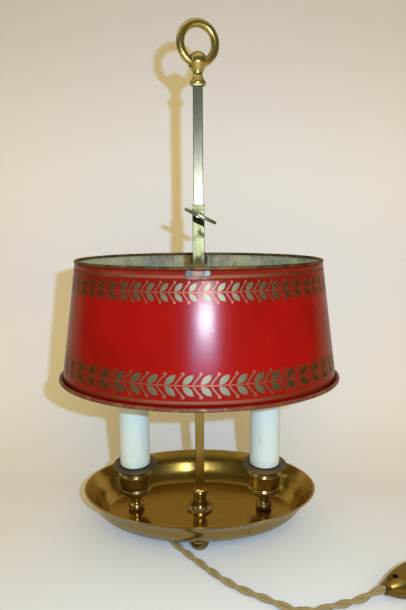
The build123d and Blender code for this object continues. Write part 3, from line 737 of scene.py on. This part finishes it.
def paintFinish():
    paint = Finish("redTole", IOR=1.42)
    share, height, _ = paint.axes(paint.node("ShaderNodeUVMap", {"uv_map": "roundShade"}))
    z = height * shade["uvHeight"]
    a, b = ovalAt(shade["girthZ"])
    girth = math.pi * (3 * (a + b) - math.sqrt((3 * a + b) * (a + 3 * b))) / mm
    placeX, _, placeZ = paint.axes()
    off = abs(placeX)
    cloud = paint.noise(22, detail=4.0, rough=0.6)
    fine = paint.noise(420, detail=3.0, rough=0.6)
    chip = paint.noise(210, detail=2.0, rough=0.5).ramp(0.735, 0.76) * cloud.ramp(0.5, 0.62)
    red = paint.mix(cloud.ramp(0.35, 0.7), shadeTones["red"], shadeTones["cloudy"])
    red = paint.mix(fine.ramp(0.45, 0.8, end=0.35), red, shadeTones["fine"])
    # darker and browner towards the top and bottom edges; at the ends a painted shade, where the
    # sheet mirrors a dim room
    brown = z.ramp(*wearAndShade["top"]) * wearAndShade["topShare"]
    brown = brown.most(z.ramp(*wearAndShade["foot"]) * wearAndShade["footShare"])
    brown = brown.most(off.ramp(*wearAndShade["ends"]) * wearAndShade["endShare"])
    red = paint.mix(brown * (0.7 + 0.6 * cloud), red, shadeTones["browned"])
    masks = {}
    for band in bands:
        near = abs(z - band["stem"]).ramp(*bandReach)
        for name, mask in laurel(share, z, band, girth / band["count"]).items():
            masks[name] = masks[name].most(mask * near) if name in masks else mask * near
    gold, leaves = masks["gold"], masks["leaf"]
    for middle in rimLines["heights"]:
        gold = gold.most(abs(z - middle).ramp(*rimLines["edge"]))
    whole = 1 - fine.ramp(0.56, 0.72) * gilding["worn"]
    gilt = gold * whole
    # painted shade: the gilt and the metal leaves are darker towards the ends, where they mirror a
    # dim room
    side = off.ramp(*wearAndShade["gilding"])
    giltTone = paint.mix(side, shadeTones["gilt"], shadeTones["giltSide"])
    leafTone = paint.mix(side, shadeTones["leaf"], shadeTones["leafSide"])
    tone = paint.mix(masks["under"] * 0.85, red, shadeTones["shadow"])
    tone = paint.mix(gilt * gilding["over"], tone, giltTone)
    tone = paint.mix(leaves * (0.8 + 0.2 * whole), tone, leafTone)
    tone = paint.mix(masks["rib"] * 0.4, tone, shadeTones["rib"])
    tone = paint.mix(chip * 0.7, tone, shadeTones["chip"])
    # rubbed bare between the rivets at the front and back of the top edge
    rubbed = off.ramp(*wearAndShade["rubbedX"]) * placeZ.ramp(*wearAndShade["rubbedLow"])
    rubbed = rubbed * placeZ.ramp(*wearAndShade["rubbedHigh"])
    rubbed = rubbed * paint.noise(300, detail=4.0, rough=0.65).ramp(0.30, 0.5)
    tone = paint.mix(rubbed * 0.85, tone, shadeTones["rubbed"])
    paint.feed("Base Color", tone)
    metallic = (leaves * gilding["leafMetal"]).most(gilt * gilding["goldMetal"])
    paint.feed("Metallic", metallic)
    paint.feed("Roughness", 0.15 + 0.10 * fine + 0.24 * leaves.most(gilt))
    dents = paint.noise(60, detail=2.0)
    paint.bump(fine * 0.4 + gold * 0.5 + dents * 0.8, depth=0.06, strength=0.6)
    return paint.material


liningTones = palette(light=(172, 162, 134), grey=(120, 120, 118), streak=(92, 88, 72),
                      speck=(66, 58, 44))


def liningFinish():
    lining = Finish("shadeLining", Metallic=0.2)
    cloud = lining.noise(34, detail=5.0, rough=0.65)
    streak = lining.noise(1.0, detail=4.0, rough=0.65, place=lining.stretched((120, 120, 30)))
    speck = lining.noise(420, detail=2.0, rough=0.6)
    tone = lining.mix(cloud.ramp(0.38, 0.64), liningTones["light"], liningTones["grey"])
    tone = lining.mix(streak.ramp(0.52, 0.72, end=0.7), tone, liningTones["streak"])
    tone = lining.mix(speck.ramp(0.6, 0.75, end=0.7), tone, liningTones["speck"])
    lining.feed("Base Color", tone)
    lining.feed("Roughness", 0.45 + 0.25 * cloud)
    lining.bump(speck + cloud, depth=0.1, strength=0.5)
    return lining.material


shadeSkin = makeShade()
shadeSkin.data.materials.append(paintFinish())
shadeSkin.data.materials.append(liningFinish())
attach(shadeSkin, "shade_carriage")
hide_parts("shade_wall")
print("shade painted")


# ---------- ground, backdrop and light

studio = {
    # the paper's tones from the ground upwards; the darker top tone is a painted shade
    "ground": (0.715, 0.69, 0.77),
    "middle": (0.755, 0.73, 0.855),
    "top": (0.55, 0.53, 0.66),
    "groundEnds": (0.0, 0.06),       # heights between which one tone turns into the next
    "topStarts": (0.30, 0.56),
    "mirrored": 0.66,        # how much of its brightness shiny pieces see
    "flat": 0.06,            # where the ground starts to bend up
    "bend": 0.18,
    "bendSteps": 16,
    "wide": 2.4,
    "high": 1.5,
    "front": -1.6,
}
# places right of, above and behind the lens
lights = {
    "flash": {"at": (0.056, 0.030, 0.048), "size": (0.011, 0.008), "power": 2.75,
              "colour": (0.38, 0.70, 1.0)},
    "glint": {"at": (0.040, 0.030, 0), "size": (0.030, 0.020), "power": 0.15,
              "colour": (0.90, 0.95, 1.0)},
    "core": {"at": (0.029, -0.035, 0), "size": (0.066, 0.038), "power": 0.62,
             "colour": (0.80, 0.88, 1.0)},
    "halo": {"at": (0.022, -0.050, 0), "size": (0.120, 0.110), "power": 0.42,
             "colour": (0.20, 0.48, 1.0)},
}
ceiling = {"place": (0.20, -1.10, 1.00), "size": (0.9, 0.6), "power": 5.6,
           "colour": (1.0, 0.75, 0.22)}
room = {"colour": (0.73, 0.57, 0.175), "strength": 1.02, "seen": (0.66, 0.62, 0.57)}
# what shiny pieces see round them, from straight down to straight up, and a window on the left
mirrored = {
    "stops": [(0.0, (0.05, 0.035, 0.02)), (0.40, (0.10, 0.075, 0.04)), (0.49, (0.07, 0.06, 0.05)),
              (0.56, (0.10, 0.10, 0.08)), (0.66, (0.07, 0.07, 0.05)), (0.80, (0.10, 0.09, 0.06)),
              (0.90, (0.55, 0.54, 0.44)), (1.0, (0.70, 0.70, 0.58))],
    "level": 0.47,           # what the stops call the horizon
    "patches": 0.06,
    "window": (1.0, 1.1, 0.9),
    "windowWay": (-0.78, -0.20, 0.60),
    "windowEdge": (0.955, 0.975),
}


def paperFinish():
    paper = Finish("studioPaper", Roughness=0.9)
    soft = paper.noise(3.0, detail=2.0)
    z = paper.axes()[2]
    tone = paper.mix(z.ramp(*studio["groundEnds"]), studio["ground"], studio["middle"])
    tone = paper.mix(z.ramp(*studio["topStarts"]), tone, studio["top"])
    glossy = paper.node("ShaderNodeLightPath", output="Is Glossy Ray")
    dim = (soft * 0.03).most(glossy * (1 - studio["mirrored"]))
    paper.feed("Base Color", paper.mix(dim, tone, (0, 0, 0)))
    # clear from behind and below, for views from there
    paper.feed("Alpha", 1 - paper.node("ShaderNodeNewGeometry", output="Backfacing"))
    return paper.material


def makeStudio():
    bm = bmesh.new()
    half = studio["wide"] / 2
    start = [bm.verts.new((x, studio["front"], 0)) for x in (-half, half)]
    edge = [bm.edges.new(start)]

    def carry(vec):
        nonlocal edge
        grown = bmesh.ops.extrude_edge_only(bm, edges=edge)["geom"]
        verts = [g for g in grown if isinstance(g, bmesh.types.BMVert)]
        edge = [g for g in grown if isinstance(g, bmesh.types.BMEdge)]
        bmesh.ops.translate(bm, verts=verts, vec=vec)

    carry((0, studio["flat"] - studio["front"], 0))
    bend, steps = studio["bend"], studio["bendSteps"]
    for i in range(steps):
        low, high = math.pi / 2 * i / steps, math.pi / 2 * (i + 1) / steps
        ahead, up = math.sin(high) - math.sin(low), math.cos(low) - math.cos(high)
        carry((0, bend * ahead, bend * up))
    carry((0, 0, studio["high"]))
    bmesh.ops.recalc_face_normals(bm, faces=bm.faces[:])
    bm.faces.ensure_lookup_table()
    if bm.faces[0].normal.z < 0:
        bmesh.ops.reverse_faces(bm, faces=bm.faces[:])
    mesh = bpy.data.meshes.new("studioGround")
    bm.to_mesh(mesh)
    bm.free()
    mesh.shade_smooth()
    mesh.materials.append(paperFinish())
    ground = bpy.data.objects.new("studioGround", mesh)
    scene.collection.objects.link(ground)


def areaLight(name, place, aim, light):
    data = bpy.data.lights.new(name, "AREA")
    data.shape = "RECTANGLE"
    data.size, data.size_y = light["size"]
    data.energy = light["power"]
    data.color = light["colour"]
    lamp = bpy.data.objects.new(name, data)
    scene.collection.objects.link(lamp)
    lamp.location = place
    lamp.rotation_euler = (Vector(aim) - Vector(place)).to_track_quat("-Z", "Y").to_euler()
    return lamp


def makeLights():
    # the flash throws the shadows, and what shiny pieces mirror of it is set apart
    eye = scene.camera.matrix_world
    for name, light in lights.items():
        lamp = areaLight(name, eye @ Vector(light["at"]), (0, 0, 0.2), light)
        lamp.visible_glossy = name != "flash"
        lamp.visible_diffuse = name == "flash"
    areaLight("ceiling", ceiling["place"], (0, 0, 0.1), ceiling).visible_glossy = False


def makeWorld():
    # plain warm light, but shiny pieces mirror a darker room with a window in it
    world = bpy.data.worlds.new("room")
    scene.world = world
    world.use_nodes = True
    sky = Graph(world.node_tree, "Generated")
    patches = sky.noise(2.2, detail=2.0, rough=0.5) * mirrored["patches"]
    up = sky.axes()[2] * 0.5 + mirrored["level"] + patches
    tone = sky.node("ShaderNodeValToRGB", {"stops": mirrored["stops"]}, [up])
    near = sky.node("ShaderNodeVectorMath", {"operation": "DOT_PRODUCT"},
                    [sky.place, mirrored["windowWay"]], output=1)
    tone = sky.mix(near.ramp(*mirrored["windowEdge"]), tone, mirrored["window"])
    plain = tuple(room["strength"] * c for c in room["colour"])
    glossy = sky.node("ShaderNodeLightPath", output="Is Glossy Ray")
    seen = sky.node("ShaderNodeLightPath", output="Is Camera Ray")
    tone = sky.mix(seen, sky.mix(glossy, plain, tone), room["seen"])
    sky.tree.links.new(tone.socket, sky.tree.nodes["Background"].inputs["Color"])


makeStudio()
makeLights()
makeWorld()
print("studio lit")
